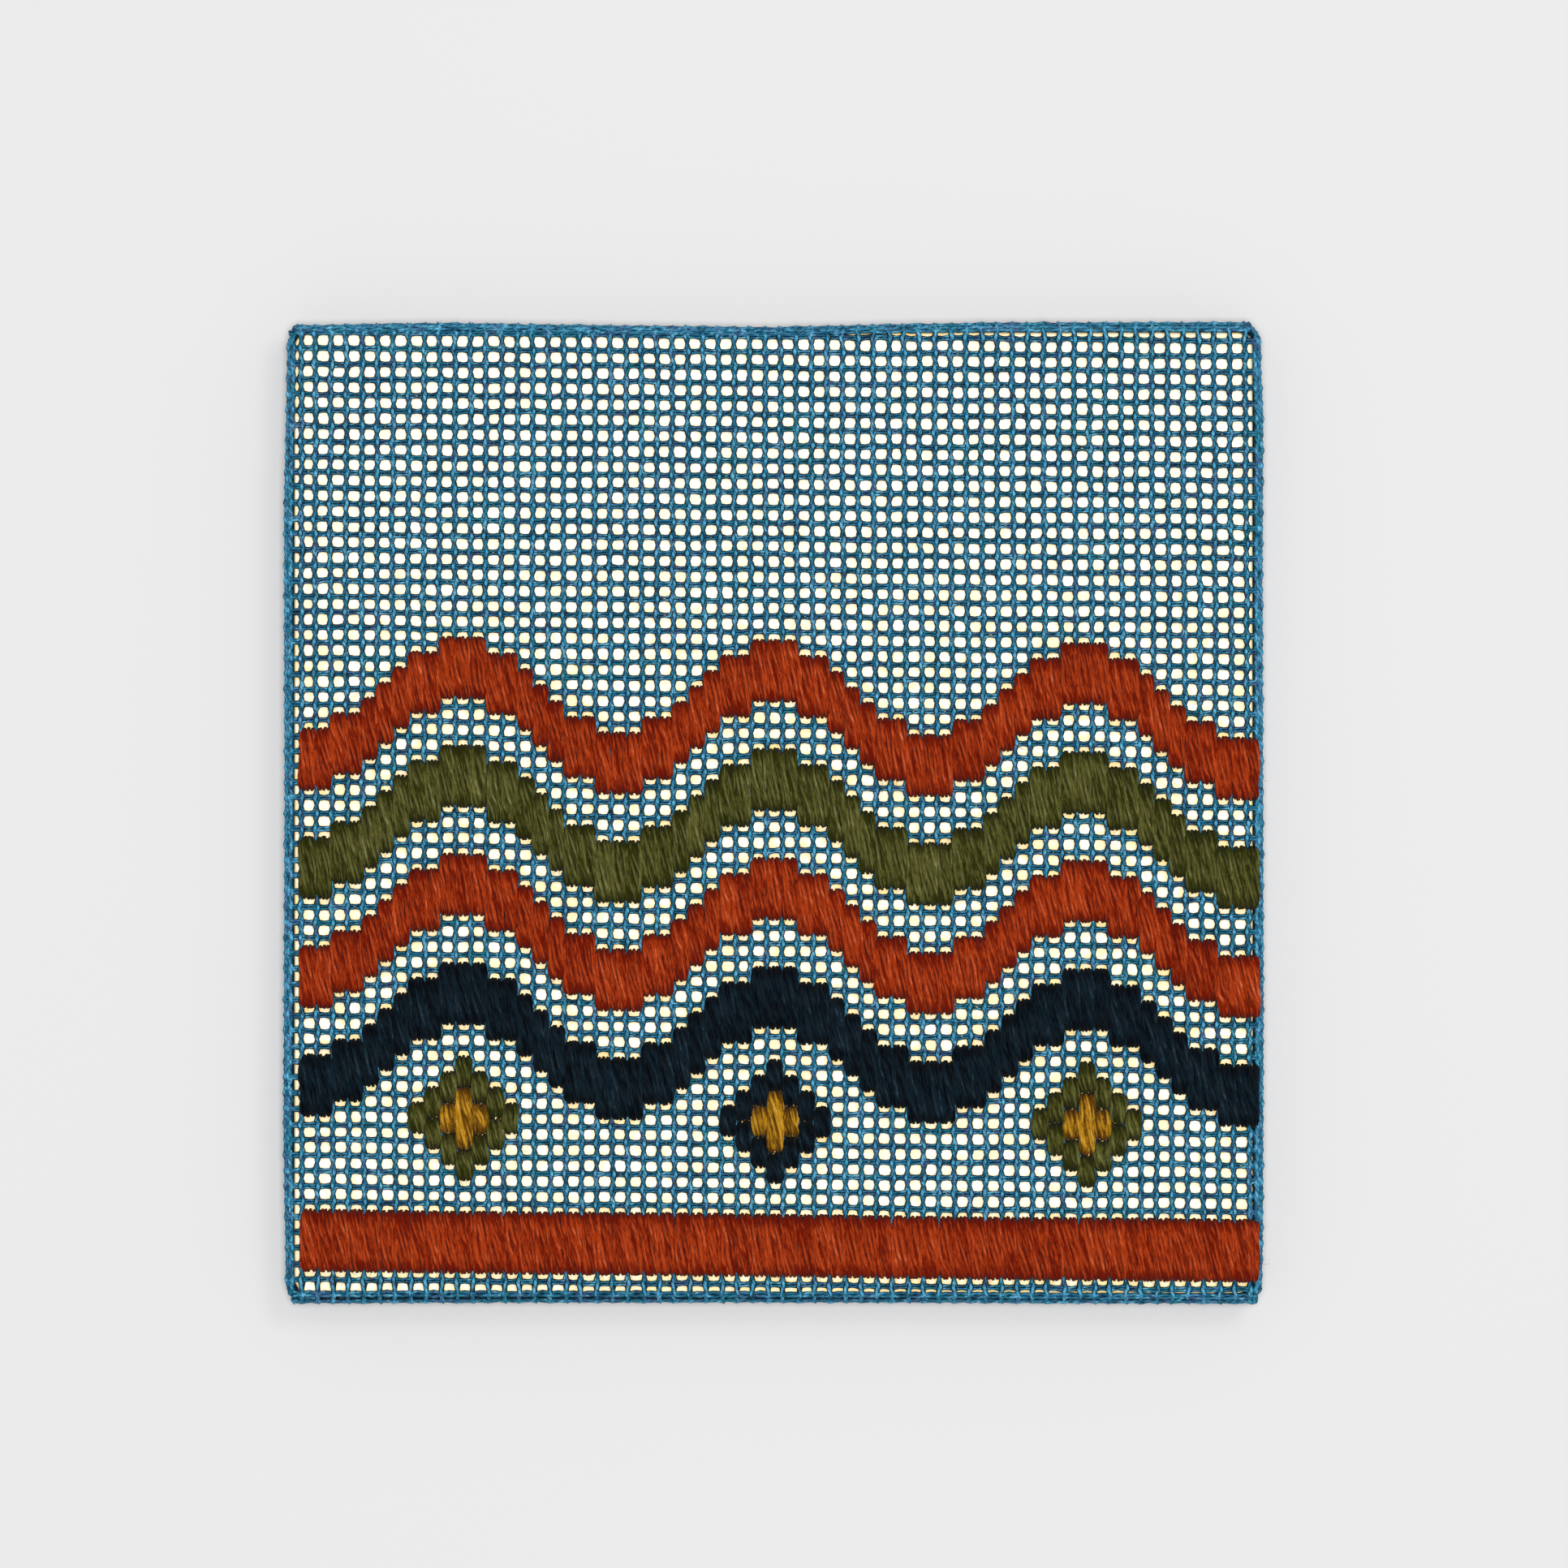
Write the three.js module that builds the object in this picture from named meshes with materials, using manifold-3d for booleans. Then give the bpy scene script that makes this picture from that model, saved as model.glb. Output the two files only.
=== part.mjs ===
// A needlepoint canvas panel. Open interlock canvas is drawn over a thin board and turned back behind it,
// and wool bands and lozenges are worked on its face in upright satin stitches.
// Millimetres. X runs across the panel, Y up its face and Z out of its face. It lies on its back on z = 0.

import * as THREE from 'three';
import { mergeVertices } from 'three/addons/utils/BufferGeometryUtils.js';
import Module from 'manifold-3d';

const wasm = await Module();
wasm.setup();

// Driving sizes
const PANEL_WIDTH = 160.5;
const PANEL_HEIGHT = 160.9;
const CLOTH = 1.0; // thickness of the canvas, one thread over and under another
const CLEARANCE = 0.3; // between pieces that lie against each other
const BOARD_THICKNESS = 9;
const BOARD_INSET = 1.6; // from the panel's outline to the board's edge
const BOARD_CORNER = 2.5; // radius of the board's upright corners
const BOARD_EASE = 0.25; // sanded off the board's arrises
const HEM_WIDTH = 17; // cloth turned back behind the board
const MITRE_GAP = 0.5; // between two flaps of the hem where they meet at a corner
const MITRE_STOP = 3.5; // cloth left whole between a mitre and the panel's corner
const FOLD_ROUND = 1.0; // radius of the cloth where it turns over the board's edges

// The holes of the canvas, which the stitches enter
const PITCH = 2.54; // ten holes to the inch across the panel
const ROW_PITCH = 2.545; // and a little more between rows, the cloth being drawn tight down the panel
const FIRST_COLUMN_X = -76.27; // hole column 1, column 0 being squeezed beside the left fold
const LAST_COLUMN = 62;
const FIRST_ROW_Y = 76.55; // hole row 0 at the middle of the panel
const ROW_FALL = 0.0083; // the rows run slightly downhill to the right

// The wool stitches
const STITCH_RISE = 1.4; // from the canvas to the crown of a stitch
const STITCH_SHOULDER = 0.75; // height at which a stitch starts to round over
const STITCH_LAP = 0.03; // neighbours in a band run into each other by this much
const CROWN_SIDE = 0.42; // narrowing of a stitch at its crown, on each side
const CROWN_END = 1.25; // shortening of a stitch at its crown, at each end
const SHOULDER_END = 0.2; // shortening at the shoulder

// Levels above the surface that the panel lies on
const BOARD_BACK = CLOTH + CLEARANCE;
const BOARD_FACE = BOARD_BACK + BOARD_THICKNESS;
const CANVAS_BACK = BOARD_FACE + CLEARANCE;
const CANVAS_FACE = CANVAS_BACK + CLOTH;
const STITCH_BASE = CANVAS_FACE + CLEARANCE;

// The outline of the drawn cloth, counter-clockwise from the foot of the left side. Each row is a place along
// a side, measured from the panel's middle, and how far the cloth draws in from the panel's full size there.
const EDGES = {
  bottom: [
    { along: -78.4, inset: 0.0 },
    { along: -40, inset: 0.15 },
    { along: 20, inset: 0.15 },
    { along: 55, inset: 0.0 },
    { along: 78.4, inset: 0.0 },
  ],
  right: [
    { along: -79.4, inset: 1.6 },
    { along: -77.8, inset: 0.55 },
    { along: -72, inset: 0.1 },
    { along: -30, inset: 0.0 },
    { along: 40, inset: 0.15 },
    { along: 66, inset: 0.05 },
    { along: 75, inset: 0.5 },
    { along: 77.7, inset: 0.7 },
    { along: 79.2, inset: 2.0 },
  ],
  top: [
    { along: 78.0, inset: 0.0 },
    { along: 38, inset: 0.05 },
    { along: 22, inset: 0.3 },
    { along: 0, inset: 0.8 },
    { along: -30, inset: 0.5 },
    { along: -54, inset: 0.1 },
    { along: -72, inset: 0.4 },
    { along: -78.4, inset: 0.75 },
  ],
  left: [
    { along: 78.4, inset: 1.1 },
    { along: 73, inset: 0.6 },
    { along: 50, inset: 0.1 },
    { along: 0, inset: 0.2 },
    { along: -53, inset: 0.0 },
    { along: -75, inset: 0.4 },
    { along: -79.2, inset: 1.3 },
  ],
};

// Sections of the turned cloth from its underside to its face: height, and distance in from the outline
const FOLD_SECTIONS = [
  { z: 0, inset: FOLD_ROUND },
  { z: 0.3 * FOLD_ROUND, inset: 0.3 * FOLD_ROUND },
  { z: FOLD_ROUND, inset: 0 },
  { z: CANVAS_FACE - FOLD_ROUND, inset: 0 },
  { z: CANVAS_FACE - 0.3 * FOLD_ROUND, inset: 0.3 * FOLD_ROUND },
  { z: CANVAS_FACE, inset: FOLD_ROUND },
];

// The bands of the chart, from the top of the panel down. A wave's first row is given at its crests.
const WAVE_PERIOD = 20; // columns from crest to crest
const WAVE_CREST = 11; // the first crest's column
const BAND_ROWS = 4; // canvas threads that a band's stitch passes over
const BANDS = [
  { name: 'rust_wave_upper', wool: 'rust', firstRow: 19, fall: 6 },
  { name: 'olive_wave', wool: 'olive', firstRow: 26, fall: 6 },
  { name: 'rust_wave_lower', wool: 'rust', firstRow: 33, fall: 6 },
  { name: 'navy_wave', wool: 'navy', firstRow: 40, fall: 6 },
  { name: 'rust_stripe', wool: 'rust', firstRow: 56, fall: 0 },
];

// The lozenges that stand under the waves' crests
const LOZENGE_ROW = 50; // the row at a lozenge's middle
const LOZENGE_REACH = 4; // rows from its middle to its tip
const LOZENGE_BORDER = 2; // rows that a stitch of its ring passes over
const LOZENGES = [
  { name: 'lozenge_left', wool: 'olive', column: 11 },
  { name: 'lozenge_middle', wool: 'navy', column: 31 },
  { name: 'lozenge_right', wool: 'olive', column: 51 },
];

const material = (color, roughness) => new THREE.MeshStandardMaterial({ color, roughness, metalness: 0 });
const MATERIALS = {
  board: material(0xf4ead0, 0.55),
  canvas: material(0x2f6f93, 0.75),
  rust: material(0x8e3015, 0.95),
  olive: material(0x4b4d26, 0.95),
  navy: material(0x141f27, 0.95),
  mustard: material(0xa9781e, 0.95),
};

// Closed body through rings of points, which run counter-clockwise as seen from above, lowest ring first
function loft(rings) {
  const count = rings[0].length;
  const index = [];
  for (let level = 0; level + 1 < rings.length; level++) {
    const low = level * count;
    const high = low + count;
    for (let i = 0; i < count; i++) {
      const next = (i + 1) % count;
      index.push(low + i, low + next, high + next);
      index.push(low + i, high + next, high + i);
    }
  }
  const lid = (ring) => THREE.ShapeUtils.triangulateShape(ring.map(([x, y]) => new THREE.Vector2(x, y)), []);
  const last = (rings.length - 1) * count;
  for (const [a, b, c] of lid(rings[0])) {
    index.push(c, b, a);
  }
  for (const [a, b, c] of lid(rings[rings.length - 1])) {
    index.push(last + a, last + b, last + c);
  }
  const geometry = new THREE.BufferGeometry();
  geometry.setAttribute('position', new THREE.Float32BufferAttribute(rings.flat(2), 3));
  geometry.setIndex(index);
  return geometry;
}

function toSolid(geometry) {
  const bare = geometry.clone();
  bare.deleteAttribute('normal');
  bare.deleteAttribute('uv');
  const merged = mergeVertices(bare, 1e-5);
  return new wasm.Manifold(new wasm.Mesh({
    numProp: 3,
    vertProperties: new Float32Array(merged.attributes.position.array),
    triVerts: new Uint32Array(merged.index.array),
  }));
}

function toGeometry(solid) {
  const { vertProperties, triVerts } = solid.getMesh();
  const geometry = new THREE.BufferGeometry();
  geometry.setAttribute('position', new THREE.BufferAttribute(new Float32Array(vertProperties), 3));
  geometry.setIndex(new THREE.BufferAttribute(new Uint32Array(triVerts), 1));
  geometry.computeVertexNormals();
  return geometry;
}

function piece(name, geometry, finish) {
  const mesh = new THREE.Mesh(geometry, finish);
  mesh.name = name;
  return mesh;
}

// Rectangle with round corners, as a shape about the panel's middle
function roundedSquare(width, height, radius) {
  const x = width / 2;
  const y = height / 2;
  const shape = new THREE.Shape();
  shape.moveTo(radius - x, -y);
  shape.absarc(x - radius, radius - y, radius, -Math.PI / 2, 0);
  shape.absarc(x - radius, y - radius, radius, 0, Math.PI / 2);
  shape.absarc(radius - x, y - radius, radius, Math.PI / 2, Math.PI);
  shape.absarc(radius - x, radius - y, radius, Math.PI, 1.5 * Math.PI);
  return shape;
}

function boardGeometry() {
  const width = PANEL_WIDTH - 2 * (BOARD_INSET + BOARD_EASE);
  const height = PANEL_HEIGHT - 2 * (BOARD_INSET + BOARD_EASE);
  const geometry = new THREE.ExtrudeGeometry(roundedSquare(width, height, BOARD_CORNER - BOARD_EASE), {
    depth: BOARD_THICKNESS - 2 * BOARD_EASE,
    curveSegments: 4,
    bevelThickness: BOARD_EASE,
    bevelSize: BOARD_EASE,
    bevelSegments: 1,
  });
  return geometry.translate(0, 0, BOARD_BACK + BOARD_EASE);
}

// Straight-sided block used to hollow the canvas, from one level to another
function block(width, height, radius, from, to) {
  const geometry = new THREE.ExtrudeGeometry(roundedSquare(width, height, radius), {
    depth: to - from,
    curveSegments: 4,
    bevelEnabled: false,
  });
  return toSolid(geometry.translate(0, 0, from));
}

// The outline's points with the cloth drawn in by a further distance, all round
function outlineRing(drawnIn, z) {
  const right = PANEL_WIDTH / 2;
  const top = PANEL_HEIGHT / 2;
  const places = [
    ...EDGES.bottom.map(({ along, inset }) => [along, inset - top]),
    ...EDGES.right.map(({ along, inset }) => [right - inset, along]),
    ...EDGES.top.map(({ along, inset }) => [along, top - inset]),
    ...EDGES.left.map(({ along, inset }) => [inset - right, along]),
  ];
  const shrinkX = (right - drawnIn) / right;
  const shrinkY = (top - drawnIn) / top;
  return places.map(([x, y]) => [x * shrinkX, y * shrinkY, z]);
}

// Cuts where two flaps of the hem meet at each corner of the back
function mitres() {
  const reach = Math.hypot(HEM_WIDTH, HEM_WIDTH) - MITRE_STOP;
  const cuts = [];
  for (const across of [-1, 1]) {
    for (const up of [-1, 1]) {
      const cut = new THREE.BoxGeometry(reach, MITRE_GAP, 4 * CLOTH);
      cut.translate(reach / 2, 0, -CLOTH);
      cut.rotateZ(Math.atan2(up, across));
      cut.translate(across * (PANEL_WIDTH / 2 - HEM_WIDTH), up * (PANEL_HEIGHT / 2 - HEM_WIDTH), 0);
      cuts.push(toSolid(cut));
    }
  }
  return cuts;
}

function canvasGeometry() {
  const wrapped = toSolid(loft(FOLD_SECTIONS.map(({ z, inset }) => outlineRing(inset, z))));
  const roomWidth = PANEL_WIDTH - 2 * (BOARD_INSET - CLEARANCE);
  const roomHeight = PANEL_HEIGHT - 2 * (BOARD_INSET - CLEARANCE);
  const room = block(roomWidth, roomHeight, BOARD_CORNER + CLEARANCE, CLOTH, CANVAS_BACK);
  const backWidth = PANEL_WIDTH - 2 * HEM_WIDTH;
  const backHeight = PANEL_HEIGHT - 2 * HEM_WIDTH;
  const back = block(backWidth, backHeight, MITRE_GAP, -CLOTH, 2 * CLOTH);
  return toGeometry(wasm.Manifold.difference([wrapped, room, back, ...mitres()]));
}

const columnX = (column) => FIRST_COLUMN_X + (column - 1) * PITCH;
const holeY = (column, row) => FIRST_ROW_Y - row * ROW_PITCH - ROW_FALL * columnX(column);

// One satin stitch: it rises from the hole at each end, and rounds over along its sides and ends.
// A growth makes the body that much larger all round.
function stitch({ column, from, to }, growth = 0) {
  const x = columnX(column);
  const low = holeY(column, to) + CLEARANCE / 2 - growth;
  const high = holeY(column, from) - CLEARANCE / 2 + growth;
  const half = PITCH / 2 + STITCH_LAP + growth;
  const ring = (z, side, end) => [
    [x - half + side, low + end, z],
    [x + half - side, low + end, z],
    [x + half - side, high - end, z],
    [x - half + side, high - end, z],
  ];
  return toSolid(loft([
    ring(STITCH_BASE - growth, 0, 0),
    ring(STITCH_BASE + STITCH_SHOULDER, 0, SHOULDER_END),
    ring(STITCH_BASE + STITCH_RISE + growth, CROWN_SIDE, Math.min(CROWN_END, (high - low) / 4)),
  ]));
}

const sewn = (stitches, growth = 0) => wasm.Manifold.union(stitches.map((one) => stitch(one, growth)));

// Whole rows by which a wave has dropped from its crests, in a column
function waveDrop(column, fall) {
  const turn = (2 * Math.PI * (column - WAVE_CREST)) / WAVE_PERIOD;
  return Math.round((fall * (1 - Math.cos(turn))) / 2);
}

function bandStitches({ firstRow, fall }) {
  const stitches = [];
  for (let column = 1; column <= LAST_COLUMN; column++) {
    const from = firstRow + waveDrop(column, fall);
    stitches.push({ column, from, to: from + BAND_ROWS });
  }
  return stitches;
}

// A lozenge's ring and centre: short stitches above and below, and longer ones between them in the middle
function lozengeStitches({ column }) {
  const ring = [];
  const centre = [];
  for (let aside = 1 - LOZENGE_REACH; aside < LOZENGE_REACH; aside++) {
    const reach = LOZENGE_REACH - Math.abs(aside);
    const inner = Math.max(reach - LOZENGE_BORDER, 0);
    const place = { column: column + aside };
    if (reach < LOZENGE_BORDER) {
      ring.push({ ...place, from: LOZENGE_ROW - reach, to: LOZENGE_ROW + reach });
      continue;
    }
    ring.push({ ...place, from: LOZENGE_ROW - reach, to: LOZENGE_ROW - inner });
    ring.push({ ...place, from: LOZENGE_ROW + inner, to: LOZENGE_ROW + reach });
    if (inner > 0) {
      centre.push({ ...place, from: LOZENGE_ROW - inner, to: LOZENGE_ROW + inner });
    }
  }
  return { ring, centre };
}

const panel = new THREE.Group();
panel.add(piece('backing_board', boardGeometry(), MATERIALS.board));
panel.add(piece('canvas', canvasGeometry(), MATERIALS.canvas));
for (const band of BANDS) {
  panel.add(piece(band.name, toGeometry(sewn(bandStitches(band))), MATERIALS[band.wool]));
}
for (const lozenge of LOZENGES) {
  const { ring, centre } = lozengeStitches(lozenge);
  const middle = sewn(centre).subtract(sewn(ring, CLEARANCE));
  panel.add(piece(`${lozenge.name}_ring`, toGeometry(sewn(ring)), MATERIALS[lozenge.wool]));
  panel.add(piece(`${lozenge.name}_centre`, toGeometry(middle), MATERIALS.mustard));
}

export default panel;
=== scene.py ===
"""A needlepoint canvas panel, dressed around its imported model.

Open blue canvas is drawn over a pale board, thread by thread, and turned back behind it. Wool
bands and lozenges are worked on it in upright satin stitches, each of eight twisted strands.
The script is in metres, and sizes are given in millimetres times MM.
"""

import math

import bpy
import numpy as np
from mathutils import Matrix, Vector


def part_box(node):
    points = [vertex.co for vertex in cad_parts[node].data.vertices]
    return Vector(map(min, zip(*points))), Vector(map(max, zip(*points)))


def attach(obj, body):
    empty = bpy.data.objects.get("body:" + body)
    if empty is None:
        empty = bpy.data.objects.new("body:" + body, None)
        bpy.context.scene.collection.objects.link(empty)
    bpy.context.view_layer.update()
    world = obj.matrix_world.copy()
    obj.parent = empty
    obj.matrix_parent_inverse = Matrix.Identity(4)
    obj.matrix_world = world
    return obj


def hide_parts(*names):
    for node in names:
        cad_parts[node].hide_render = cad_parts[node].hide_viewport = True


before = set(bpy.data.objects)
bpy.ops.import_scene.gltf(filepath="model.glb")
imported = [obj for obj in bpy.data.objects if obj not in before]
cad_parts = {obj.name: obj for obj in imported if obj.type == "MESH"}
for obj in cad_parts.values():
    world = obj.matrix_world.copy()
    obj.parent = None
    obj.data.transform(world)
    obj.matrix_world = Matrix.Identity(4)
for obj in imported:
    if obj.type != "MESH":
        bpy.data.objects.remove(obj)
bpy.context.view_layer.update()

MM = 0.001
RIGHT_ANGLE = 0.5 * math.pi
FULL_TURN = 2 * math.pi

# The drawn canvas. Holes lie at whole columns and rows, and the thread pairs halfway between.
# Each lattice gives its start, then what a column, a row and the product of both add.
LATTICE_X = np.array([-79.01, 2.5435, 0.0047, 0.000142]) * MM
LATTICE_Y = np.array([77.60, -0.02345, -2.5475, -0.0000958]) * MM
COLUMNS = 62  # pairs of warp threads on the face
ROWS = 62  # pairs of weft threads on the face
EDGE_COLUMN = {"left": 0.0, "right": 62.4}  # where a side's flap takes its rows' heights from
HALF_CLOTH = 0.5 * MM  # from the middle of the cloth to its face
RIM_DEPTH = 0.16 * MM  # from the outline to the middle of the threads that make it
RIM_SHRINK = 0.3 * MM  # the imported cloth's rim ring lies this far inside its outline
RING_TOLERANCE = 0.02 * MM  # and its points are this near to one level
RING_SHARE = 0.9  # those of one side reach at least this share of the farthest
FLAT_ALONG = 73.0 * MM  # past this place the outline rounds into a corner
FOLD = 1.0 * MM  # radius at which the middle of the cloth turns over the board's edge
HEM = 15.6 * MM  # cloth behind the board, from the end of the lower fold
HEM_RAISED = 0.13 * MM  # so that the hem's knots stay off the floor
CALM_RIM = 78.5 * MM  # the cloth's unevenness ends here
CALM_WIDTH = 6 * MM  # and starts to fade this far inside

# The threads
WEFT_RADIUS = 0.205 * MM
WARP_RADIUS = 0.265 * MM
RADIUS_STRAY = 0.07  # spread of a thread's radius, as a share
KNOT_SWELL = 0.88  # share by which size and paint thicken a thread at a crossing
WEFT_SPREAD = 0.215 * MM  # from the middle of a pair of weft threads to each of them
WEFT_LIFT = 0.04 * MM  # a weft thread's rise and fall on the face
WEFT_STRAY = 0.025 * MM
WEFT_LIFT_STRAY = 0.012 * MM
WARP_SWAY = 0.20 * MM  # a warp thread sways this far to each side of its pair
SWAY_SHAPE = 0.6  # below 1 the sway is quick between crossings and slow at them
WARP_STRAY = 0.018 * MM
CROSS_LIFT = 0.38 * MM  # a warp thread over or under a weft pair
TWIST_LIFT = 0.20 * MM  # the two warp threads over and under each other between wefts
WEFT_STEPS = 2  # steps of a weft thread from one warp pair to the next
WARP_STEPS = 3
FLAP_STEPS = 2  # steps of any thread that crosses a flap, from one flap pair to the next
CORD_STEPS = (4, 4, 2, 2)  # steps a row for the first flap pairs on a side. Others have one
THREAD_SIDES = 4
WANDER = 0.075 * MM  # how far a crossing strays from its even place
SLOT_SHIFT = (0.28 * MM, 0.04 * MM)  # the left warp pair lies this far inward, top and bottom
TINT_OWN = 0.35  # how much of a thread's tint is its own
TINT_RAISED = 0.65  # and how much comes from how high it lies: a painted highlight on raised threads and painted shade on low ones

# The cloth where it turns over the board. Flap pairs are those that run along a side.
FLAP_PITCH = 2.4 * MM
SECOND_PAIR = 1.4 * MM  # where the second flap pair lies, past the start of the side's fold
# Where the first one lies, at the left or lower end of its side and at the other end
FIRST_PAIR = {
    "left": (0.36 * MM, 0.36 * MM),
    "right": (0.42 * MM, 0.42 * MM),
    "top": (0.58 * MM, 0.10 * MM),
    "bottom": (-0.33 * MM, 0.15 * MM),
}
SIDE_LENGTH = 160 * MM  # over which it goes from one place to the other
ARC_STEPS = 5  # points of a thread over each fold
ARC_CLEAR = 0.3 * MM  # its other steps stay this far from those
PRESSED = 0.60  # the weave's ups and downs are flatter there, by this factor
FLAP_SWELL = 0.22  # and the knots swell only this much
FLAP_WEFT_LIFT = 0.03 * MM  # a weft thread's rise and fall there
FLAP_STRAY = 0.03 * MM
SETTLE = 6 * MM  # a weft thread comes back to its even height over about this length
CORD_RADIUS = 0.31 * MM  # a thread of a flap pair on the left or right
CORD_SWAY = 1.15  # it sways this much more than those on the face
CORD_STRAY = 0.012 * MM
CORNER_RADIUS = 2.4 * MM  # plan radius of a side flap round the board's corner
CORNER_STEPS = 6
CORNER_CLEAR = 0.3 * MM  # other steps stay this far from the start of a corner
CORNER_DIP = 0.7 * MM  # a pair goes at least this far below the first fold at a corner
TUCK = 2.6 * MM  # how far a side flap goes on behind the end flap
TUCK_DEPTH = 0.70 * MM  # how far inside the outline it lies there
MITRE_SLACK = 0.5 * MM  # hem threads stop this far from the slanting join
HEM_SHARE = 0.6  # below this share of a fold above the hem's level, the cloth counts as hem

# The top and bottom flaps, which are folded under at both ends
END_REACH = {"top": (78.5 * MM, 78.0 * MM), "bottom": (78.7 * MM, 79.0 * MM)}  # left, right
END_CLEAR = 0.4 * MM  # the last free step stays this far inside the fold
END_RADIUS = 0.28 * MM  # thread radius in the first two pairs
END_SPREAD = 0.31 * MM  # from the middle of such a pair to each thread
END_SHOWN = 2  # how many pairs that is
END_OPEN = (0.75, 0.25)  # a pair's opening in shares of its spread: mean, and swing
END_LIFT = 0.12 * MM  # rise and fall of its threads
END_STRAY = 0.06 * MM
END_LIFT_STRAY = 0.04 * MM
END_TINT = 2  # a lift counts this much more in a thread's tint, so its painted highlight and shade are stronger
END_CURL = ((0.22, 0.10), (0.34, 0.34), (0.05, 0.62), (-0.7, 0.68))  # outward, inward, in mm
FOLDED_EDGE = 0.15 * MM  # the last warp pair lies this far inside the folded end
FOLDED_SKIP = 2  # and leaves out this many of its first steps over the fold

# The wool
STRANDS = 8
STRAND_SIDES = 5
STRAND_RADIUS = 0.39 * MM
STRAND_END = 0.80  # a strand's radius in a hole, as a share
CORE_HALF = 1.15 * MM  # half width of the core, whose darker wool is painted shade between the strands
CORE_END = 0.45  # its share in a hole
CORE_FLAT = 0.2  # its thickness, as a share of its width
CORE_SIDES = 4
CORE_TINT = 0.1
BUNDLE_HALF = 1.11 * MM  # half width of a stitch's bundle of strands at its middle
BUNDLE_END = 0.86 * MM  # and where it goes down into a hole
BUNDLE_RISE = 0.30 * MM  # half thickness of a bundle
RISE_END = 0.7  # its share in a hole
TURNS_PER_LENGTH = 0.031 / MM  # the bundle's twist
PLY_WAVE = 1.0  # how fast a strand's two plies turn, in radians for a millimetre
CROWN = 0.72 * MM  # from the canvas to the middle of a bundle
CROWN_STRAY = 0.04 * MM
SPINE_WAVE = 0.08 * MM  # how far a stitch waves from side to side
STRAND_WAVE = 0.07 * MM  # the same for a strand in it, across
STRAND_BOB = 0.09 * MM  # and up and down
RADIUS_WAVE = 0.08  # share by which a strand thickens and thins
ANGLE_STRAY = 0.12  # of a strand from its even place in the twist, in radians
INTO_HOLE = 0.30 * MM  # a stitch goes down this far inside its hole's middle
END_ROUND = 0.80 * MM  # length over which a stitch rounds down into its hole
END_ROUND_SHARE = 0.3  # but at most this share of the stitch
END_DIVE = (0, 32, 62, 90)  # its steps there, in degrees
END_NARROW = 1.0 * MM  # length over which it narrows
END_SHADE = 1.7 * MM  # and over which its wool is darker, a painted shade
SHADE_DEPTH = 1.3  # how much darker that painted shade is, in tint
STITCH_STEP = 1.25 * MM  # between its points
BOARD_CLEAR = 0.2 * MM  # a stitch ends this far above the board
LAST_HOLE = 78.35 * MM  # holes on the right are used no farther out than this
WOOL_REACH = 80.1 * MM  # a stitch by the rim keeps inside this
ROOM_NEEDED = 1.45 * MM  # and is narrower where its hole leaves it less room than this
FIBRE_RADIUS = 0.026 * MM
FIBRE_SIDES = 3
FIBRE_POINTS = 4
FIBRE_LENGTH = (0.8, 2.4)  # in mm
LONG_FIBRES = 0.06  # share of the fibres that are longer
LONG_FACTOR = 2.2
FIBRE_LEAN = (12, 26)  # mean and spread of a fibre's angle from upright, in degrees
FIBRE_BEND = 0.8  # spread of its bend, in radians
FIBRE_HALF = 1.3 * MM  # fibres start this far to each side of a stitch's middle
FIBRE_FALL = 0.25 * MM  # and this much lower there
FIBRE_SUNK = 0.08 * MM  # a fibre's ends lie this far in the wool
FIBRE_LIFT = (0.02, 0.26)  # how far its middle rises from there, in mm
FIBRE_REACH = 81.2 * MM  # no fibre lies farther from the panel's middle than this
BAND_FUZZ = 12  # fibres for a stitch of a band
LOZENGE_FUZZ = 7

# The design, counted in holes
BAND_ROWS = 4
WAVE_PERIOD = 20
WAVE_CREST = 11  # column of the first crest
LOZENGE_ROW = 50
LOZENGE_REACH = 4  # rows from a lozenge's middle to its points
LOZENGE_BORDER = 2  # rows of its ring

# The view
VIEW_SPAN = 257.2 * MM  # what the picture shows across, at the panel's face
VIEW_CENTRE = (1.73 * MM, 4.73 * MM)
CAMERA_ABOVE = 1.2  # above the canvas
SENSOR = 36.0
FLOOR_SIZE = 4.0
FLOOR_LEVEL = -0.1 * MM
FLOOR_COLOUR = (0.60, 0.597, 0.60, 1.0)
SKY_STRENGTH = 0.38
# Each lamp's size, power and place
LAMPS = {
    "overhead": (0.38, 26.5, (0.014, -0.006, 1.7)),
    "window": (0.50, 3.9, (0.50, 0.50, 1.5)),
}

chance = np.random.default_rng(31)


# Where the cloth lies

canvas_low, canvas_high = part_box("canvas")
board_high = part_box("backing_board")[1]
FACE_LEVEL = canvas_high.z - HALF_CLOTH
HEM_LEVEL = canvas_low.z + HALF_CLOTH + HEM_RAISED
SIDE_DROP = FACE_LEVEL - HEM_LEVEL - 2 * FOLD
QUARTER = RIGHT_ANGLE * FOLD
HEM_START = 2 * QUARTER + SIDE_DROP
CLOTH_END = HEM_START + HEM
BEHIND = HEM_LEVEL + HEM_SHARE * FOLD
SIDE_OF = {"left": -1, "right": 1, "bottom": -1, "top": 1}


def rim_chains():
    """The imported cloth's outline, a chain for each side: places along it and how far out."""
    points = np.array([v.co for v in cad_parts["canvas"].data.vertices])
    level = canvas_high.z - RIM_SHRINK
    ring = points[np.abs(points[:, 2] - level) < RING_TOLERANCE]
    chains = {}
    for side, sign in SIDE_OF.items():
        axis = 0 if side in ("left", "right") else 1
        out = sign * ring[:, axis]
        along = ring[:, 1 - axis]
        near = out > RING_SHARE * out.max()
        order = np.argsort(along[near])
        chains[side] = (along[near][order], out[near][order] + RIM_SHRINK)
    return chains


RIM = rim_chains()


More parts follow.
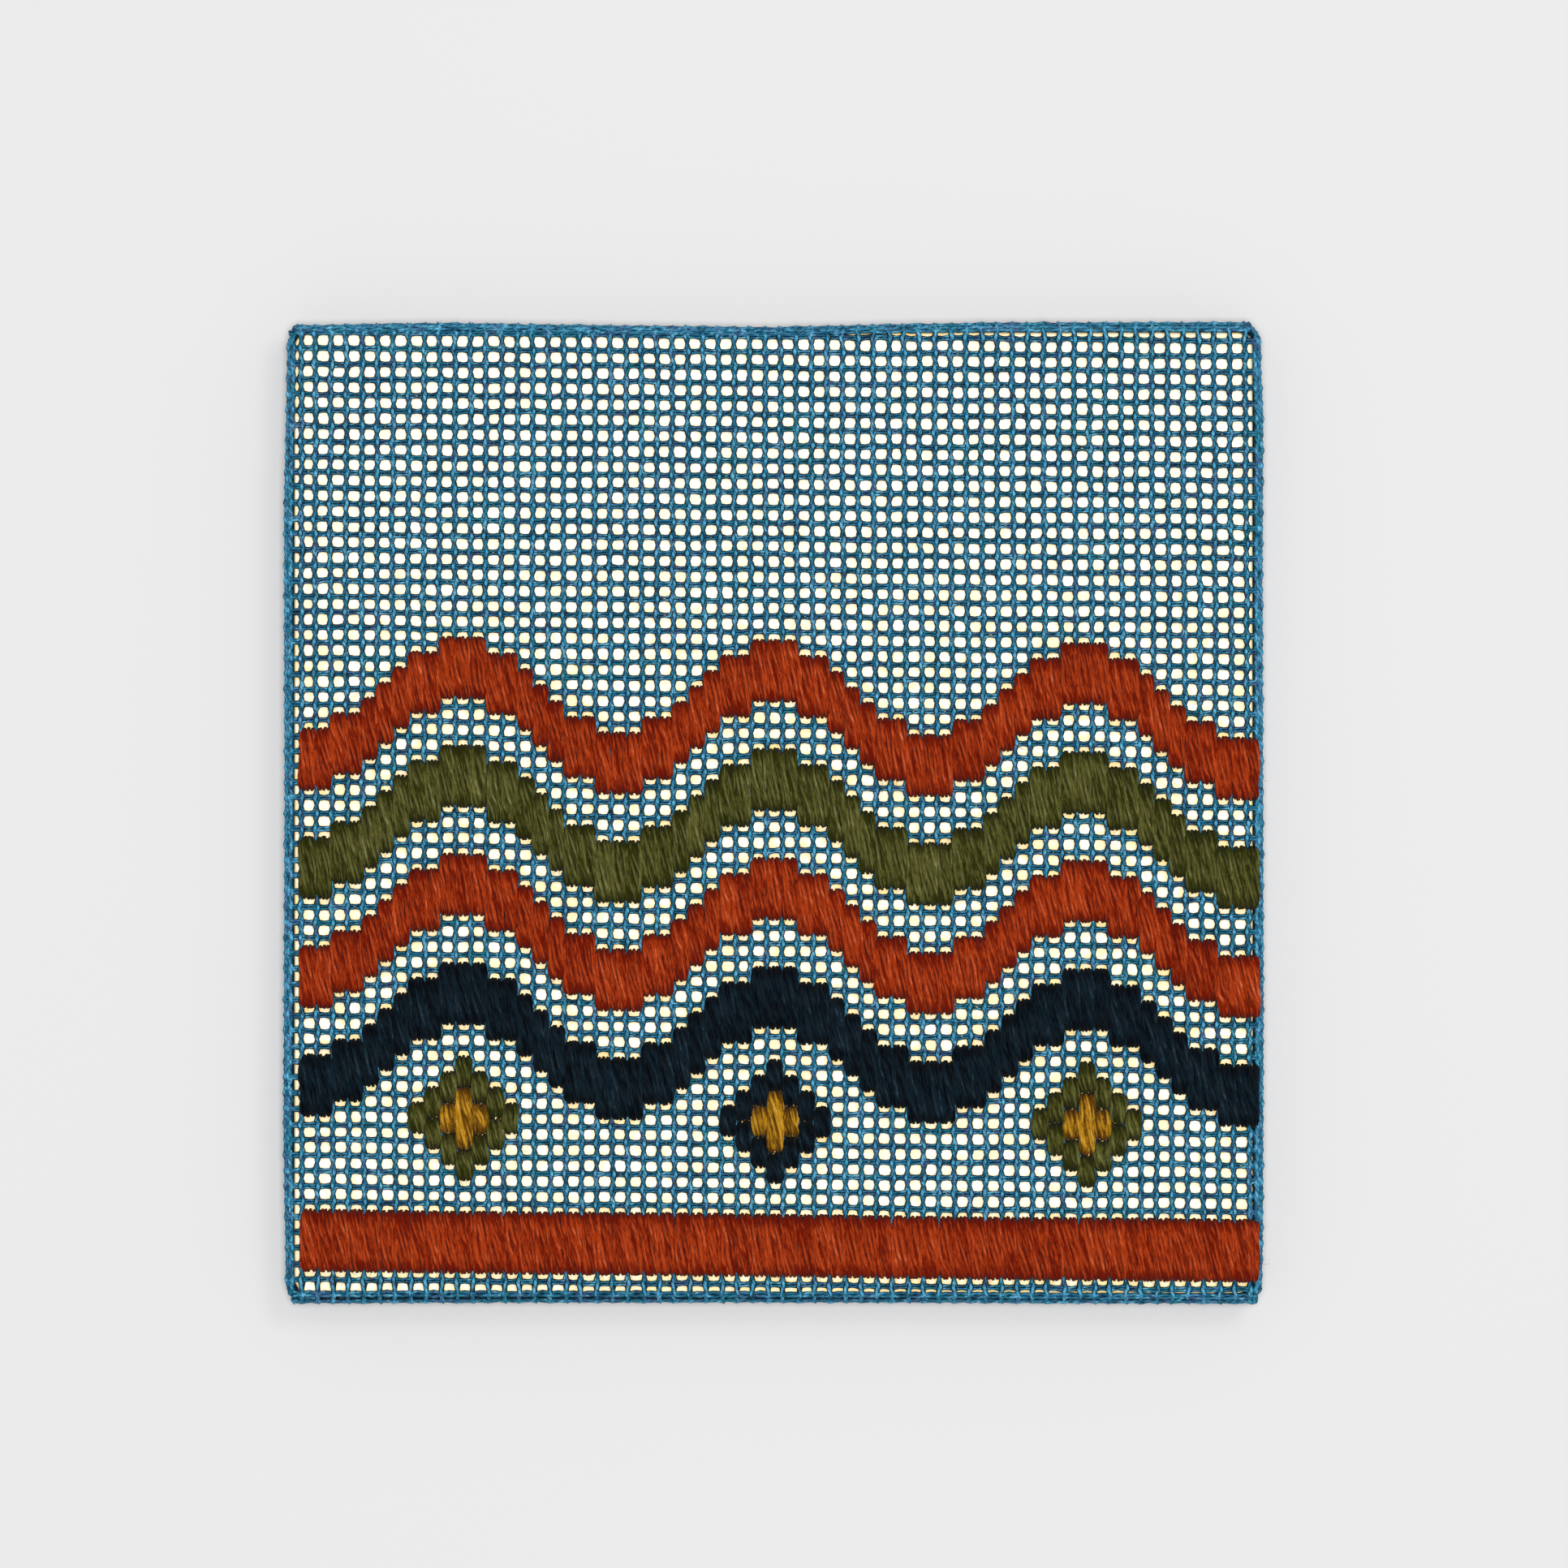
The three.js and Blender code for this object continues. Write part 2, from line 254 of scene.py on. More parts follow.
def outline(side, along):
    """How far from the panel's middle the cloth reaches on that side."""
    places, out = RIM[side]
    return np.interp(np.clip(along, -FLAT_ALONG, FLAT_ALONG), places, out)


def fold_start(side, along):
    """How far from the panel's middle the cloth starts to turn over that side of the board."""
    return outline(side, along) - RIM_DEPTH - FOLD


def turned(past):
    """Cloth past the start of its fold: how far out and down it lies, and which way it faces."""
    first = np.clip(past, 0, QUARTER) / FOLD
    second = np.clip(past - QUARTER - SIDE_DROP, 0, QUARTER) / FOLD
    upright = np.clip(past - QUARTER, 0, SIDE_DROP)
    behind = np.clip(past - HEM_START, 0, None)
    before = np.clip(past, None, 0)
    angle = first + second
    out = before + FOLD * (np.sin(first) + np.cos(second) - 1) - behind
    down = FOLD * (1 - np.cos(first) + np.sin(second)) + upright
    return out, down, np.sin(angle), np.cos(angle)


def lattice(column, row):
    """A place on the even canvas, counted in hole columns and rows."""
    terms = (1.0, column, row, column * row)
    x = sum(step * term for step, term in zip(LATTICE_X, terms))
    y = sum(step * term for step, term in zip(LATTICE_Y, terms))
    return x, y


def drift(x, y):
    """The drawn cloth's slow unevenness: how far a place has moved across and up.

    Each way it is a broad wave and a finer one, worked out in millimetres.
    """
    across = 0.08 * np.sin(x / (21 * MM) + y / (34 * MM) + 0.6)
    across = across + 0.07 * np.sin(y / (11 * MM) - x / (46 * MM))
    up = 0.08 * np.sin(x / (26 * MM) - 1.1) * np.cos(y / (40 * MM))
    up = up + 0.06 * np.sin(x / (12.5 * MM) + y / (17 * MM))
    calm = np.clip((CALM_RIM - np.maximum(np.abs(x), np.abs(y))) / CALM_WIDTH, 0, 1)
    return across * MM * calm, up * MM * calm


# Strands, gathered into meshes

class Bundle:
    """Strands gathered into one mesh.

    Each point carries its place on its strand, which is the run along it in mm and the cosine
    and sine of the angle round it, and a tint.
    """

    def __init__(self):
        self.points = []
        self.faces = []
        self.lie = []
        self.tint = []
        self.count = 0

    def strand(self, path, up, radius, sides, tint, start=0.0, flat=1.0):
        """Adds a strand along a path, flattened by a share, its run counted from start.

        The way up is given at each point. The radius and the tint may be, too.
        """
        turn = FULL_TURN * np.arange(sides) / sides
        around = np.stack([np.cos(turn), np.sin(turn)], axis=1)
        ahead = np.gradient(path, axis=0)
        ahead /= np.linalg.norm(ahead, axis=1, keepdims=True)
        across = np.cross(ahead, up)
        across /= np.linalg.norm(across, axis=1, keepdims=True)
        over = np.cross(across, ahead)
        radius = np.broadcast_to(radius, len(path))
        ring = around[None, :, :1] * across[:, None, :]
        ring = ring + flat * around[None, :, 1:] * over[:, None, :]
        self.points.append((path[:, None, :] + radius[:, None, None] * ring).reshape(-1, 3))
        steps = np.linalg.norm(np.diff(path, axis=0), axis=1)
        run = np.concatenate([[0], np.cumsum(steps)]) / MM + start
        lie = np.empty((len(path), sides, 3))
        lie[:, :, 0] = run[:, None]
        lie[:, :, 1:] = around[None]
        self.lie.append(lie.reshape(-1, 3))
        self.tint.append(np.repeat(np.broadcast_to(tint, len(path)), sides))
        here = np.arange(len(path) - 1)[:, None] * sides + self.count
        side = np.arange(sides)[None]
        after = (side + 1) % sides
        corners = [here + side, here + side + sides, here + after + sides, here + after]
        self.faces += np.stack(corners, axis=2).reshape(-1, 4).tolist()
        last = self.count + (len(path) - 1) * sides
        self.faces.append(list(range(self.count, self.count + sides)))
        self.faces.append(list(range(last + sides - 1, last - 1, -1)))
        self.count += len(path) * sides

    def thread(self, *sections):
        """Adds a canvas thread from sections laid end to end.

        A section is points, ways up, radii and lifts.
        """
        points, up, radius, lift = (np.concatenate(parts) for parts in zip(*sections))
        radius = radius * (1 + chance.normal(0, RADIUS_STRAY, len(radius)))
        # Raised points are tinted lighter and low ones darker: painted highlight and shade.
        raised = np.clip(0.5 + 0.5 * lift / CROSS_LIFT, 0, 1)
        tint = TINT_OWN * chance.uniform(0, 1) + TINT_RAISED * raised
        self.strand(points, up, radius, THREAD_SIDES, tint, chance.uniform(0, 9))

    def piece(self, name, finish):
        mesh = bpy.data.meshes.new(name)
        mesh.from_pydata(np.concatenate(self.points), [], self.faces)
        mesh.shade_smooth()
        lie = mesh.attributes.new("lie", "FLOAT_VECTOR", "POINT")
        lie.data.foreach_set("vector", np.concatenate(self.lie).ravel())
        tint = mesh.attributes.new("tint", "FLOAT", "POINT")
        tint.data.foreach_set("value", np.concatenate(self.tint))
        mesh.materials.append(finish)
        made = bpy.data.objects.new(name, mesh)
        bpy.context.scene.collection.objects.link(made)
        return made


# Materials

class Shade:
    """An output in a material's node tree. Arithmetic on it adds Math nodes to the tree."""

    def __init__(self, tree, socket=None):
        self.tree = tree
        self.socket = socket

    def add(self, kind, settings=None, inputs=None, output=0):
        """Adds a node of any type, with its settings and the values or links of its sockets."""
        node = self.tree.nodes.new(kind)
        for name, value in (settings or {}).items():
            setattr(node, name, value)
        for name, value in (inputs or {}).items():
            if isinstance(value, Shade):
                self.tree.links.new(value.socket, node.inputs[name])
            else:
                node.inputs[name].default_value = value
        return Shade(self.tree, node.outputs[output])

    def math(self, operation, first, second=0.0):
        return self.add("ShaderNodeMath", {"operation": operation}, {0: first, 1: second})

    def __add__(self, other):
        return self.math("ADD", self, other)

    def __radd__(self, other):
        return self.math("ADD", other, self)

    def __sub__(self, other):
        return self.math("SUBTRACT", self, other)

    def __rsub__(self, other):
        return self.math("SUBTRACT", other, self)

    def __mul__(self, other):
        return self.math("MULTIPLY", self, other)

    def __rmul__(self, other):
        return self.math("MULTIPLY", other, self)

    def sine(self):
        return self.math("SINE", self)

    def between(self, low, high):
        """0 below low, 1 above high and smooth between."""
        settings = {"interpolation_type": "SMOOTHSTEP"}
        inputs = {"Value": self, "From Min": low, "From Max": high}
        return self.add("ShaderNodeMapRange", settings, inputs)

    def blend(self, first, second):
        """A colour, from first where this value is 0 to second where it is 1."""
        inputs = {0: self, 6: first, 7: second}
        return self.add("ShaderNodeMix", {"data_type": "RGBA"}, inputs, output=2)

    def noise(self, vector, scale, detail, roughness=0.5):
        inputs = {"Vector": vector, "Scale": scale, "Detail": detail, "Roughness": roughness}
        return self.add("ShaderNodeTexNoise", inputs=inputs)

    def attribute(self, name, output):
        return self.add("ShaderNodeAttribute", {"attribute_name": name}, output=output)

    def place(self):
        """The place on the piece, in metres."""
        return self.add("ShaderNodeTexCoord", output="Object")

    def facing_up(self):
        """How far the surface faces up, from -1 to 1."""
        return self.parts(self.add("ShaderNodeNewGeometry", output="Normal"))[2]

    def parts(self, vector):
        """The three numbers of a vector."""
        first = self.add("ShaderNodeSeparateXYZ", inputs={0: vector})
        return [Shade(self.tree, output) for output in first.socket.node.outputs]

    def joined(self, x, y, z):
        return self.add("ShaderNodeCombineXYZ", inputs={0: x, 1: y, 2: z})

    def scaled(self, vector, factors):
        settings = {"operation": "MULTIPLY"}
        return self.add("ShaderNodeVectorMath", settings, {0: vector, 1: factors})

    def bump(self, height, strength, distance):
        inputs = {"Height": height, "Strength": strength, "Distance": distance}
        return self.add("ShaderNodeBump", inputs=inputs)


def colour(red, green, blue):
    """A colour from the 0 to 255 values that a picture shows."""
    def linear(value):
        share = value / 255
        return share / 12.92 if share <= 0.04045 else ((share + 0.055) / 1.055) ** 2.4
    return (linear(red), linear(green), linear(blue), 1.0)


# Low and high follow the tint, which holds painted highlight and shade as well as each thread's
# own tone. Lit is a painted highlight, and the groove and flank shades are painted shade.
PAINT_LOW = colour(6, 54, 78)
PAINT_HIGH = colour(20, 122, 160)
PAINT_TEAL = colour(2, 104, 122)
PAINT_VIOLET = colour(62, 78, 124)
PAINT_LIT = colour(92, 170, 204)
PAINT_PALE = colour(104, 180, 212)
PAINT_DARK = colour(4, 34, 54)
GROOVE_SHADE = colour(2, 28, 46)
FLANK_SHADE = colour(18, 30, 36)
THREAD_PLY = 5.2  # how fast a thread's two plies turn, in radians for a millimetre
CREST = (0.25 * MM, 0.75 * MM)  # above the cloth's middle level, threads grow lighter here: a painted highlight
LIGHT_RIM = (78.3 * MM, 79.2 * MM)  # from the panel's middle, raised threads do so here, as a painted highlight
DARK_FLANKS = (78.9 * MM, 78.1 * MM)  # farther in than this, their steep sides grow dark: painted shade
FLANK_DEPTH = (2 * MM, 1 * MM)  # but not deeper than this below the cloth's middle level

# Each wool's dark, main and light colour
WOOLS = {
    "rust": (colour(98, 14, 0), colour(160, 55, 14), colour(205, 101, 60)),
    "olive": (colour(36, 38, 2), colour(85, 85, 39), colour(131, 132, 86)),
    "navy": (colour(0, 4, 10), colour(11, 28, 38), colour(46, 64, 76)),
    "mustard": (colour(84, 50, 2), colour(176, 128, 26), colour(224, 184, 84)),
}

# Painted shade: the ground takes these golds where threads shade it.
SHADE_GOLD_DEEP = colour(250, 204, 90)
SHADE_GOLD_PALE = colour(252, 226, 126)
CREAM_DULL = colour(244, 242, 227)
CREAM_BRIGHT = colour(250, 250, 248)
CREAM_BLOTCH = colour(246, 226, 168)
VENEER_DARK = colour(196, 160, 112)
VENEER_PALE = colour(222, 194, 150)
PLY_DARK = colour(150, 112, 72)
PLY_PALE = colour(212, 178, 132)
PLY_LAYER = 1.5 * MM
BLOTCH_TOP = (62 * MM, 10 * MM)  # the cream's blotches grow from here to here, going down
BLOTCH_FOOT = (-75 * MM, -30 * MM)  # and here going up
GROUND_OPEN = 3.0 * MM  # how near threads must be for the painted shade to turn the cream into gold


def material(name):
    """A new material, with its node tree's shader and a Shade that adds nodes to it."""
    made = bpy.data.materials.new(name)
    made.use_nodes = True
    tree = made.node_tree
    shader = tree.nodes["Principled BSDF"]
    return made, shader, Shade(tree)


def connect(shade, shader, socket):
    shade.tree.links.new(shade.socket, shader.inputs[socket])


def canvas_paint():
    """Twisted cotton, sized and painted blue, with teal and violet where the paint varies. Raised
    threads carry a painted highlight, and ply grooves and steep flanks carry painted shade.
    """
    made, shader, start = material("painted_canvas")
    place = start.place()
    run, cosine, sine = start.parts(start.attribute("lie", "Vector"))
    tint = start.attribute("tint", "Fac")
    x, y, z = start.parts(place)
    reach = start.math("MAXIMUM", start.math("ABSOLUTE", x), start.math("ABSOLUTE", y))
    crest = z.between(FACE_LEVEL + CREST[0], FACE_LEVEL + CREST[1])
    rim = reach.between(*LIGHT_RIM)
    on_face = z.between(FACE_LEVEL - FLANK_DEPTH[0], FACE_LEVEL - FLANK_DEPTH[1])
    inner = reach.between(*DARK_FLANKS) * on_face
    speck = start.noise(place, 850.0, 2.0)
    thin = start.noise(place, 150.0, 3.0).between(0.50, 0.66)
    thick = start.noise(place, 420.0, 2.0).between(0.50, 0.68)
    turn = start.math("ARCTAN2", sine, cosine)
    ply = (turn * 2 - run * THREAD_PLY).sine() * 0.5 + 0.5

    # The tint mixes each thread's own tone with painted highlight and shade from how high it
    # lies.
    paint = tint.blend(PAINT_LOW, PAINT_HIGH)
    paint = (thin * 0.7).blend(paint, PAINT_TEAL)
    paint = (thick * 0.6).blend(paint, PAINT_VIOLET)
    # Painted highlight on the crests, and on raised threads near the rim.
    paint = (crest * 0.50 + rim * tint.between(0.30, 0.95) * 0.45).blend(paint, PAINT_LIT)
    paint = (speck.between(0.52, 0.70) * 0.7).blend(paint, PAINT_PALE)
    paint = (speck.between(0.46, 0.30) * 0.7).blend(paint, PAINT_DARK)
    # Painted shade in the grooves between the plies.
    paint = (ply.between(0.40, 0.0) * 0.6).blend(paint, GROOVE_SHADE)
    # Painted shade on the steep sides of threads on the face.
    paint = (start.facing_up().between(0.85, 0.30) * inner).blend(paint, FLANK_SHADE)
    connect(paint, shader, "Base Color")

    fibre = start.noise(start.joined(run * 3.0, cosine * 4 + run * 2, sine * 4), 2.2, 2.0)
    connect(start.bump(ply * 0.7 + fibre * 0.5, 0.9, 0.06 * MM), shader, "Normal")
    shader.inputs["Roughness"].default_value = 0.5
    shader.inputs["Specular IOR Level"].default_value = 0.15
    return made


def wool(name, dark, main, light):
    """Soft spun wool: fibres run along each ply, some paler than the rest. Painted shade darkens
    the stitch ends, the core and the grooves between plies.
    """
    made, shader, start = material(name)
    place = start.place()
    run, cosine, sine = start.parts(start.attribute("lie", "Vector"))
    tint = start.attribute("tint", "Fac")
    along = start.joined(run * 0.45, cosine * 1.1 + run * 0.12, sine * 1.1)
    fibre = start.noise(along, 1.8, 3.0, 0.6)
    along = start.joined(run * 0.9, cosine * 4 + run * 1.2, sine * 4)
    fine = start.noise(along, 2.4, 2.0)
    cloud = start.noise(place, 160.0, 2.0)
    turn = start.math("ARCTAN2", sine, cosine)
    ply = (turn * 2 - run * PLY_WAVE + cloud * 4).sine() * 0.5 + 0.5

    # The weights were found by matching the photo's light and dark wool.
    # The tint carries painted shade at the stitch ends and on the core, and ply darkens the
    # grooves between plies as painted shade.
    shade = tint * 0.28 + fibre * 1.25 + fine * 0.50 + cloud * 0.35 + ply * 0.24 - 0.98
    low = shade.between(0.05, 0.50).blend(dark, main)
    body = shade.between(0.50, 0.90).blend(low, light)
    connect(body, shader, "Base Color")

    connect(start.bump(ply * 0.9 + fibre * 0.8 + fine * 0.6, 1.0, 0.12 * MM), shader, "Normal")
    shader.inputs["Roughness"].default_value = 0.95
    shader.inputs["Specular IOR Level"].default_value = 0.04
    shader.inputs["Sheen Weight"].default_value = 0.03
    shader.inputs["Sheen Roughness"].default_value = 0.5
    return made


def board_finish():
    """Plywood: a bright cream ground on its face, painted gold near the threads as shade, plies
    at its edges and a bare back.
    """
    made, shader, start = material("board_finish")
    place = start.place()
    height, level = start.parts(place)[1:]
    facing = start.facing_up()

    # The ground is cream in the open holes, with painted glare there and with blotches that are
    # strongest halfway up the panel. Close to the threads, ambient occlusion paints shade on it
    # in gold.
    inputs = {"Distance": GROUND_OPEN}
    open_sky = start.add("ShaderNodeAmbientOcclusion", {"samples": 8}, inputs, output="AO")
    gold = start.noise(place, 260.0, 2.0).between(0.35, 0.65).blend(SHADE_GOLD_DEEP, SHADE_GOLD_PALE)
    below_top = height.between(*BLOTCH_TOP)
    above_foot = 0.35 + 0.65 * height.between(*BLOTCH_FOOT)
    blotch_noise = start.noise(place, 430.0, 2.0).between(0.42, 0.66)
    blotch = blotch_noise * (0.25 + 0.60 * (below_top * above_foot))
    glare = start.noise(place, 300.0, 1.0).between(0.50, 0.62)
    cream = blotch.blend(glare.blend(CREAM_DULL, CREAM_BRIGHT), CREAM_BLOTCH)
    ground = open_sky.between(0.12, 0.42).blend(gold, cream)

    grain = start.noise(start.scaled(place, (22.0, 260.0, 260.0)), 2.0, 4.0, 0.6)
    veneer = grain.between(0.35, 0.7).blend(VENEER_DARK, VENEER_PALE)
    layer = (level * (math.pi / PLY_LAYER)).sine().between(-0.2, 0.2)
    plies = layer.blend(PLY_DARK, PLY_PALE)
    back = facing.between(-0.5, -0.7).blend(plies, veneer)
    connect(facing.between(0.5, 0.7).blend(back, ground), shader, "Base Color")
    connect(start.bump(grain, 0.25, 0.1 * MM), shader, "Normal")
    shader.inputs["Roughness"].default_value = 0.6
    return made


# The canvas

FIRST_ARC = np.linspace(0, QUARTER, ARC_STEPS)
FOLD_STEPS = np.concatenate([FIRST_ARC, QUARTER + SIDE_DROP + FIRST_ARC])


def first_pair(side, along):
    near, far = FIRST_PAIR[side]
    return near + (far - near) * (0.5 + along / SIDE_LENGTH)


def flap_lines(side, along=0.0):
    """Where the flap pairs of a side lie, past the start of its fold."""
    others = np.arange(SECOND_PAIR, CLOTH_END, FLAP_PITCH)
    return np.concatenate([[first_pair(side, along)], others])


def flap_steps(side, along):
    """Steps of a thread that crosses a flap: on the folds, and evenly between crossings."""
    lines = flap_lines(side, along)
    cells = np.arange(0, len(lines) - 1 + 1e-6, 1 / FLAP_STEPS)
    steps = np.interp(cells, np.arange(len(lines)), lines)
    clear = np.abs(steps[:, None] - FOLD_STEPS[None]).min(axis=1) > ARC_CLEAR
    return np.sort(np.concatenate([FOLD_STEPS, steps[clear & (steps > 0)], [CLOTH_END]]))


def flap_phase(side, along, steps, before):
    """Counts crossings past the last one on the face, which lies that far before the fold."""
    lines = flap_lines(side, along)
    places = np.concatenate([[-before], lines, [lines[-1] + FLAP_PITCH]])
    return np.interp(steps, places, np.arange(len(places)))


def outward(side, along, past, lift):
    """Points of a thread on a side's fold, and which way is up there."""
    out, down, face_out, face_up = turned(past)
    reach = SIDE_OF[side] * (fold_start(side, along) + out + lift * face_out)
    level = FACE_LEVEL - down + lift * face_up
    zero = np.zeros_like(reach)
    if side in ("left", "right"):
        points = np.stack([reach, along, level], axis=1)
        ups = np.stack([SIDE_OF[side] * face_out, zero, face_up], axis=1)
    else:
        points = np.stack([along, reach, level], axis=1)
        ups = np.stack([zero, SIDE_OF[side] * face_out, face_up], axis=1)
    return points, ups


def mitred(section, axis):
    """A section without what would lie past the slanting join between two hem flaps."""
    points = section[0]
    past_join = np.abs(points[:, axis]) < np.abs(points[:, 1 - axis]) + MITRE_SLACK
    keep = ~(past_join & (points[:, 2] < BEHIND))
    return [part[keep] for part in section]


def hem_limit(side, past):
    """How far from the middle a hem pair reaches before the slanting joins at its ends."""
    return fold_start(side, 0.0) + turned(np.array([past]))[0][0] - MITRE_SLACK


def backwards(section):
    return [part[::-1] for part in section]


def flat_section(x, y, lift, radius):
    points = np.stack([x, y, FACE_LEVEL + lift], axis=1)
    return points, np.tile([0.0, 0.0, 1.0], (len(points), 1)), radius, lift


def knotted(radius, phase, swell=KNOT_SWELL):
    """A thread's radius: thicker near each crossing."""
    return radius * (1 + swell * np.cos(np.pi * phase) ** 2)


def at_phase(values, phase):
    """Values at whole crossings, taken between them too."""
    return np.interp(phase, np.arange(len(values)), values)


def weft_flap(side, row, aside, end):
    """A weft thread over a side's fold, from the end of its run on the face."""
    steps = flap_steps(side, 0.0)
    height = lattice(EDGE_COLUMN[side], row - 0.5)[1]
    phase = flap_phase(side, 0.0, steps, fold_start(side, height) - abs(end[0]))
    settle = np.exp(-steps / SETTLE)
    along = end[1] * settle + (height + aside) * (1 - settle)
    along = along + chance.normal(0, FLAP_STRAY, len(steps))
    lift = FLAP_WEFT_LIFT * np.cos(2 * np.pi * phase)
    points, up = outward(side, along, steps, lift)
    return mitred((points, up, knotted(WEFT_RADIUS, phase, FLAP_SWELL), lift), 0)


def weft_pair(bundle, row, wander):
    """The two threads of a weft pair, from the left hem over the face to the right hem."""
    phase = np.arange(0, COLUMNS - 1 + 0.1, 1 / WEFT_STEPS)
    x, y = lattice(phase + 0.5, row - 0.5)
    shift_x, shift_y = drift(x, y)
    x = x + shift_x + at_phase(wander[0, row], phase)
    y = y + shift_y + at_phase(wander[1, row], phase)
    for aside in (-WEFT_SPREAD, WEFT_SPREAD):
        stray = chance.normal(0, WEFT_STRAY, len(phase))
        lift = WEFT_LIFT * np.cos(np.pi * phase + row)
        lift = lift + chance.normal(0, WEFT_LIFT_STRAY, len(phase))
        face = flat_section(x, y + aside + stray, lift, knotted(WEFT_RADIUS, phase))
        left = weft_flap("left", row, aside, face[0][0])
        right = weft_flap("right", row, aside, face[0][-1])
        bundle.thread(backwards(left), face, right)


def warp_swing(phase, first):
    """A warp thread's sway and lift.

    One thread of a pair lies over every weft pair and the other under it. Between the weft
    pairs they change sides, and there the one that lay over passes under.
    """
    over = 1 if first else -1
    swing = np.cos(np.pi * phase)
    sway = over * WARP_SWAY * np.sign(swing) * np.abs(swing) ** SWAY_SHAPE
    cross = 0.5 + 0.5 * np.cos(2 * np.pi * phase)
    lift = over * (CROSS_LIFT * cross - TWIST_LIFT * (1 - cross))
    return sway, lift


def warp_flap(side, column, first, end_x, end_y):
    """A warp thread over a side's fold, from the end of its run on the face."""
    steps = flap_steps(side, end_x)
    phase = flap_phase(side, end_x, steps, fold_start(side, end_x) - abs(end_y))
    counted = ROWS - 1 + phase if side == "bottom" else -phase
    sway, lift = warp_swing(counted + column % 2, first)
    points, up = outward(side, end_x + sway, steps, lift * PRESSED)
    return mitred((points, up, knotted(WARP_RADIUS, phase, FLAP_SWELL), lift), 1)


def warp_pair(bundle, column, wander, rows, ends):
    """The two threads of a warp pair over some rows, and over the folds that its ends name."""
    first_step, last_step = (round(row * WARP_STEPS) for row in rows)
    phase = np.arange(first_step, last_step + 1) / WARP_STEPS
    held = np.clip(phase, 0, ROWS - 1)
    x, y = lattice(column + 0.5, held - 0.5)
    shift_x, shift_y = drift(x, y)
    x = x + shift_x + at_phase(wander[0, :, column], held)
    y = y + shift_y + at_phase(wander[1, :, column], held)
    for first in (True, False):
        sway, lift = warp_swing(phase + column % 2, first)
        stray = chance.normal(0, WARP_STRAY, (2, len(phase)))
        radius = knotted(WARP_RADIUS, phase)
        sections = [flat_section(x + sway + stray[0], y, lift + stray[1], radius)]
        if "top" in ends:
            sections.insert(0, backwards(warp_flap("top", column, first, x[0], y[0])))
        if "bottom" in ends:
            sections.append(warp_flap("bottom", column, first, x[-1], y[-1]))
        bundle.thread(*sections)


def round_corners(side, along, past, sway, lift, turns):
    """Points of a side flap's thread, wrapped round the corners past the two turns."""
    over_top = np.clip((along - turns[0]) / CORNER_RADIUS, 0, None)
    over_bottom = np.clip((-turns[1] - along) / CORNER_RADIUS, 0, None)
    turn = over_top + over_bottom
    quarter = np.clip(turn, 0, RIGHT_ANGLE)
    onward = (turn - quarter) * CORNER_RADIUS
    dip = np.sin(quarter) ** 2 * max(0.0, QUARTER + CORNER_DIP - past)
    held = np.clip(along, -turns[1], turns[0])
    points, up = outward(side, held, past + dip + sway * CORD_SWAY, lift * PRESSED)
    pivot = outline(side, held) - CORNER_RADIUS - RIM_DEPTH
    arm = np.abs(points[:, 0]) - pivot
    sign = SIDE_OF[side]
    end_sign = np.where(over_top > 0, 1.0, -1.0)
    points[:, 0] = sign * (pivot + arm * np.cos(quarter) - onward)
    points[:, 1] = held + end_sign * arm * np.sin(quarter)
    flat_up = np.abs(up[:, 0])
    up[:, 0] = sign * flat_up * np.cos(quarter)
    up[:, 1] = end_sign * flat_up * np.sin(quarter)
    return points, up


def side_cord(bundle, side, past, index, rows, wraps):
    """The two threads of a flap pair on the left or right, over some rows.

    Where wraps names an end, the pair goes on round that corner and is tucked behind it.
    """
    on_hem = past > QUARTER + SIDE_DROP
    per_row = CORD_STEPS[index] if index < len(CORD_STEPS) else 1
    phase = np.linspace(rows[0], rows[1], round((rows[1] - rows[0]) * per_row) + 1)
    x_edge, y = lattice(EDGE_COLUMN[side], phase - 0.5)
    step = y[0] - y[1]
    inset = TUCK_DEPTH + CORNER_RADIUS
    turns = [outline(end, x_edge[0]) - inset for end in ("top", "bottom")]
    if on_hem:
        limit = hem_limit(side, past)
        inside = np.abs(y) < limit
        beyond = [np.array([limit]), np.array([limit])]
    else:
        inside = (y < turns[0] - CORNER_CLEAR) & (y > CORNER_CLEAR - turns[1])
        corner = CORNER_RADIUS * np.linspace(0.0, RIGHT_ANGLE, CORNER_STEPS)
        wrapped = np.concatenate([corner, corner[-1] + TUCK * np.array([0.5, 1.0])])
        beyond = [turn + wrapped for turn in turns]
    above = beyond[0][::-1] if "top" in wraps else np.empty(0)
    below = -beyond[1] if "bottom" in wraps else np.empty(0)
    along = np.concatenate([above, y[inside], below])
    counted = phase[0] + (y[0] - along) / (step * per_row)
    for first in (True, False):
        sway, lift = warp_swing(counted + index, first)
        if on_hem:
            points, up = outward(side, along, past + sway * CORD_SWAY, lift * PRESSED)
        else:
            points, up = round_corners(side, along, past, sway, lift, turns)
        points += chance.normal(0, CORD_STRAY, points.shape)
        bundle.thread((points, up, knotted(CORD_RADIUS, counted, FLAP_SWELL), lift))


